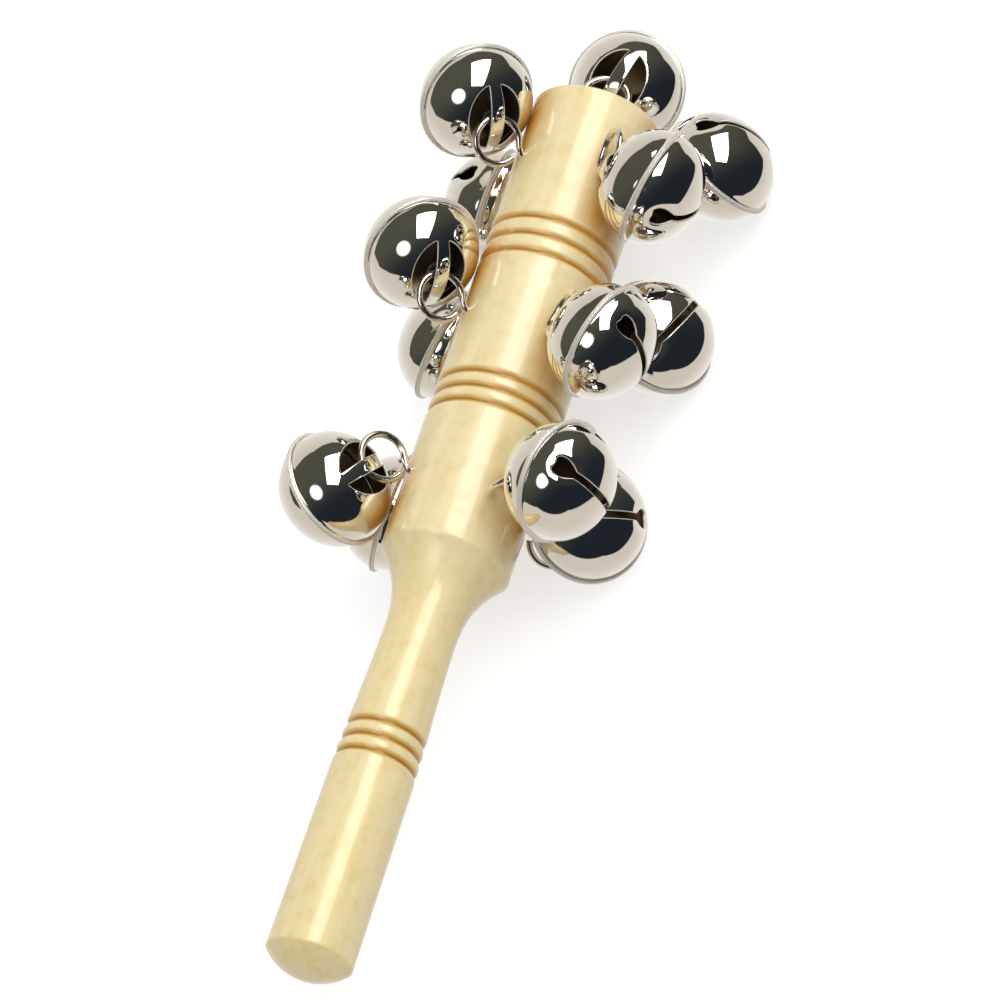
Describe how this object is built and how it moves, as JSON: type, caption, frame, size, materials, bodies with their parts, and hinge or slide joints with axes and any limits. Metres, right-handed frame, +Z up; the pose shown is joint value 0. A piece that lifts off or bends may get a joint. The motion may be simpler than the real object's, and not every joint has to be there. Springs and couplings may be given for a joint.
{
  "type": "jingle stick",
  "caption": "Turned wooden stick with a slim handle and grooved head, set with screw eyes on which pressed round jingle bells hang loose, each with a rolling pellet inside.",
  "frame": {"origin": "middle of the bounding box, on the table that the lower bells rest on", "axes": "+Y along the stick from the handle to the head, +Z up from the table, as the stick is laid down in the picture"},
  "size_m": [0.0865, 0.2513, 0.0589],
  "materials": {
    "lacquered_wood": "clear glossy lacquer over pale turned wood, faint lengthwise grain, amber in the grooves",
    "eye_wire": "bright nickel plated round wire",
    "bell_sheet": "bright nickel plated pressed sheet, mirror smooth outside",
    "pellet_steel": "plain steel ball"
  },
  "bodies": {
    "stick": {"stick": "lacquered_wood", "screw_eye_a1": "eye_wire", "screw_eye_a2": "eye_wire", "screw_eye_a3": "eye_wire", "screw_eye_b1": "eye_wire", "screw_eye_b2": "eye_wire", "screw_eye_b3": "eye_wire", "screw_eye_c1": "eye_wire", "screw_eye_c2": "eye_wire", "screw_eye_c3": "eye_wire", "screw_eye_d1": "eye_wire", "screw_eye_d2": "eye_wire", "screw_eye_d3": "eye_wire", "screw_eye_top": "eye_wire"},
    "bell_a1": {"bell_a1_strap_shell": "bell_sheet", "bell_a1_slotted_shell": "bell_sheet"},
    "pellet_a1": {"bell_a1_pellet": "pellet_steel"},
    "bell_a2": {"bell_a2_strap_shell": "bell_sheet", "bell_a2_slotted_shell": "bell_sheet"},
    "pellet_a2": {"bell_a2_pellet": "pellet_steel"},
    "bell_a3": {"bell_a3_strap_shell": "bell_sheet", "bell_a3_slotted_shell": "bell_sheet"},
    "pellet_a3": {"bell_a3_pellet": "pellet_steel"},
    "bell_b1": {"bell_b1_strap_shell": "bell_sheet", "bell_b1_slotted_shell": "bell_sheet"},
    "pellet_b1": {"bell_b1_pellet": "pellet_steel"},
    "bell_b2": {"bell_b2_strap_shell": "bell_sheet", "bell_b2_slotted_shell": "bell_sheet"},
    "pellet_b2": {"bell_b2_pellet": "pellet_steel"},
    "bell_b3": {"bell_b3_strap_shell": "bell_sheet", "bell_b3_slotted_shell": "bell_sheet"},
    "pellet_b3": {"bell_b3_pellet": "pellet_steel"},
    "bell_c1": {"bell_c1_strap_shell": "bell_sheet", "bell_c1_slotted_shell": "bell_sheet"},
    "pellet_c1": {"bell_c1_pellet": "pellet_steel"},
    "bell_c2": {"bell_c2_strap_shell": "bell_sheet", "bell_c2_slotted_shell": "bell_sheet"},
    "pellet_c2": {"bell_c2_pellet": "pellet_steel"},
    "bell_c3": {"bell_c3_strap_shell": "bell_sheet", "bell_c3_slotted_shell": "bell_sheet"},
    "pellet_c3": {"bell_c3_pellet": "pellet_steel"},
    "bell_d1": {"bell_d1_strap_shell": "bell_sheet", "bell_d1_slotted_shell": "bell_sheet"},
    "pellet_d1": {"bell_d1_pellet": "pellet_steel"},
    "bell_d2": {"bell_d2_strap_shell": "bell_sheet", "bell_d2_slotted_shell": "bell_sheet"},
    "pellet_d2": {"bell_d2_pellet": "pellet_steel"},
    "bell_d3": {"bell_d3_strap_shell": "bell_sheet", "bell_d3_slotted_shell": "bell_sheet"},
    "pellet_d3": {"bell_d3_pellet": "pellet_steel"},
    "bell_top": {"bell_top_strap_shell": "bell_sheet", "bell_top_slotted_shell": "bell_sheet"},
    "pellet_top": {"bell_top_pellet": "pellet_steel"}
  },
  "joints": [
    {"name": "bell_a1_swing", "type": "hinge", "parent": "stick", "child": "bell_a1", "pos_m": [-0.01202, 0.08255, 0.04645], "axis": [0.5496, 0.5568, -0.6229], "range_deg": [0, 135]},
    {"name": "bell_a1_pellet_roll", "type": "hinge", "parent": "bell_a1", "child": "pellet_a1", "pos_m": [-0.01989, 0.08874, 0.04518], "axis": [-0.786, 0.6183, 0], "range_deg": [-120, 120]},
    {"name": "bell_a2_swing", "type": "hinge", "parent": "stick", "child": "bell_a2", "pos_m": [-0.01341, 0.04086, 0.04512], "axis": [0.5137, 0.4831, -0.709], "range_deg": [0, 125]},
    {"name": "bell_a2_pellet_roll", "type": "hinge", "parent": "bell_a2", "child": "pellet_a2", "pos_m": [-0.02097, 0.04749, 0.04415], "axis": [-0.7521, 0.659, 0], "range_deg": [-120, 120]},
    {"name": "bell_a3_swing", "type": "hinge", "parent": "stick", "child": "bell_a3", "pos_m": [-0.01507, -0.01034, 0.04462], "axis": [-0.4461, 0.5736, 0.687], "range_deg": [0, 135]},
    {"name": "bell_a3_pellet_roll", "type": "hinge", "parent": "bell_a3", "child": "pellet_a3", "pos_m": [-0.02402, -0.01381, 0.04145], "axis": [-0.9324, -0.3614, 0], "range_deg": [-120, 120]},
    {"name": "bell_b1_swing", "type": "hinge", "parent": "stick", "child": "bell_b1", "pos_m": [0.01855, 0.07355, 0.03828], "axis": [-0.5838, -0.568, -0.5801], "range_deg": [0, 105]},
    {"name": "bell_b1_pellet_roll", "type": "hinge", "parent": "bell_b1", "child": "pellet_b1", "pos_m": [0.02664, 0.07104, 0.03277], "axis": [0.9552, -0.296, 0], "range_deg": [-120, 120]},
    {"name": "bell_b2_swing", "type": "hinge", "parent": "stick", "child": "bell_b2", "pos_m": [0.02006, 0.03189, 0.03836], "axis": [-0.4925, -0.8224, -0.2847], "range_deg": [0, 125]},
    {"name": "bell_b2_pellet_roll", "type": "hinge", "parent": "bell_b2", "child": "pellet_b2", "pos_m": [0.0287, 0.02827, 0.03458], "axis": [0.922, -0.3872, 0], "range_deg": [-120, 120]},
    {"name": "bell_b3_swing", "type": "hinge", "parent": "stick", "child": "bell_b3", "pos_m": [0.02184, -0.00632, 0.03728], "axis": [-0.2706, -0.817, 0.5092], "range_deg": [0, 110]},
    {"name": "bell_b3_pellet_roll", "type": "hinge", "parent": "bell_b3", "child": "pellet_b3", "pos_m": [0.0314, -0.00941, 0.03636], "axis": [0.9514, -0.3078, 0], "range_deg": [-120, 120]},
    {"name": "bell_c1_swing", "type": "hinge", "parent": "stick", "child": "bell_c1", "pos_m": [0.02048, 0.08413, 0.01037], "axis": [-0.653, 0.7507, 0.1], "range_deg": [0, 125]},
    {"name": "bell_c1_pellet_roll", "type": "hinge", "parent": "bell_c1", "child": "pellet_c1", "pos_m": [0.02822, 0.08977, 0.01358], "axis": [0.8078, 0.5894, 0], "range_deg": [-120, 120]},
    {"name": "bell_c2_swing", "type": "hinge", "parent": "stick", "child": "bell_c2", "pos_m": [0.01766, 0.04252, 0.0075], "axis": [-0.4429, 0.6537, 0.6136], "range_deg": [0, 135]},
    {"name": "bell_c2_pellet_roll", "type": "hinge", "parent": "bell_c2", "child": "pellet_c2", "pos_m": [0.02618, 0.04391, 0.01275], "axis": [0.987, 0.1606, 0], "range_deg": [-120, 120]},
    {"name": "bell_c3_swing", "type": "hinge", "parent": "stick", "child": "bell_c3", "pos_m": [0.01572, -0.00281, 0.00704], "axis": [-0.3898, 0.3638, 0.846], "range_deg": [0, 80]},
    {"name": "bell_c3_pellet_roll", "type": "hinge", "parent": "bell_c3", "child": "pellet_c3", "pos_m": [0.02387, -0.00476, 0.01268], "axis": [0.9726, -0.2326, 0], "range_deg": [-120, 120]},
    {"name": "bell_d1_swing", "type": "hinge", "parent": "stick", "child": "bell_d1", "pos_m": [-0.02265, 0.08147, 0.00788], "axis": [-0.293, -0.8876, -0.3553], "range_deg": [0, 135]},
    {"name": "bell_d1_pellet_roll", "type": "hinge", "parent": "bell_d1", "child": "pellet_d1", "pos_m": [-0.03139, 0.08236, 0.01286], "axis": [-0.9948, 0.1016, 0], "range_deg": [-120, 120]},
    {"name": "bell_d2_swing", "type": "hinge", "parent": "stick", "child": "bell_d2", "pos_m": [-0.0218, 0.04054, 0.0078], "axis": [-0.5084, -0.7757, -0.3739], "range_deg": [0, 135]},
    {"name": "bell_d2_pellet_roll", "type": "hinge", "parent": "bell_d2", "child": "pellet_d2", "pos_m": [-0.03002, 0.04348, 0.01288], "axis": [-0.9417, 0.3365, 0], "range_deg": [-120, 120]},
    {"name": "bell_d3_swing", "type": "hinge", "parent": "stick", "child": "bell_d3", "pos_m": [-0.02106, -0.00272, 0.00736], "axis": [-0.393, -0.6938, -0.6035], "range_deg": [0, 135]},
    {"name": "bell_d3_pellet_roll", "type": "hinge", "parent": "bell_d3", "child": "pellet_d3", "pos_m": [-0.02962, -0.00198, 0.01267], "axis": [-0.9963, 0.0862, 0], "range_deg": [-120, 120]},
    {"name": "bell_top_swing", "type": "hinge", "parent": "stick", "child": "bell_top", "pos_m": [-0.00032, 0.10859, 0.02317], "axis": [0.8448, -0.2756, -0.4587], "range_deg": [0, 135]},
    {"name": "bell_top_pellet_roll", "type": "hinge", "parent": "bell_top", "child": "pellet_top", "pos_m": [-0.0038, 0.11275, 0.01465], "axis": [-0.6427, 0.7661, 0], "range_deg": [-120, 120]}
  ]
}
